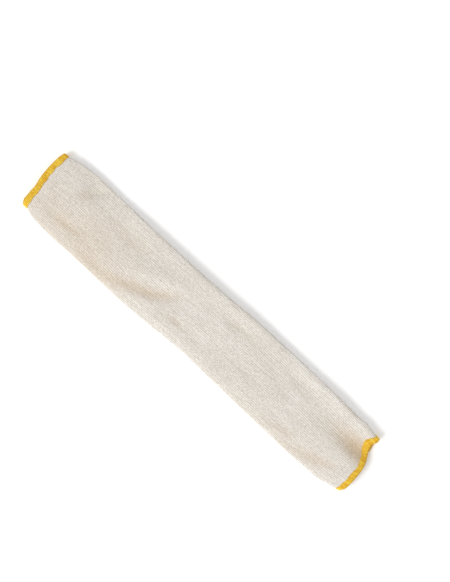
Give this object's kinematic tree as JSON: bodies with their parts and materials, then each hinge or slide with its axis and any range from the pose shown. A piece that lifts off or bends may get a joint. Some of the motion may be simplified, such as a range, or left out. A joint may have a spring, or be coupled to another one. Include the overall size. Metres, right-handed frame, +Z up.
{
  "type": "cotton arm sleeve",
  "caption": "Seamless knitted cotton tube worn over the forearm, lying flat and open at both ends, with an overlocked thread edge round each mouth.",
  "frame": {"origin": "middle of the sleeve's outline, on the surface that it lies on", "axes": "+X from the upper-arm mouth to the wrist mouth, +Y across the sleeve, +Z up"},
  "size_m": [0.457, 0.0814, 0.0145],
  "materials": {
    "cotton_knit": "matt unbleached cotton, plain knit with its wales along the sleeve",
    "edge_thread": "close yellow overlock thread, slightly glossy"
  },
  "bodies": {
    "root": {"knit_tube": "cotton_knit", "upper_edge": "edge_thread", "wrist_edge": "edge_thread"}
  },
  "joints": []
}
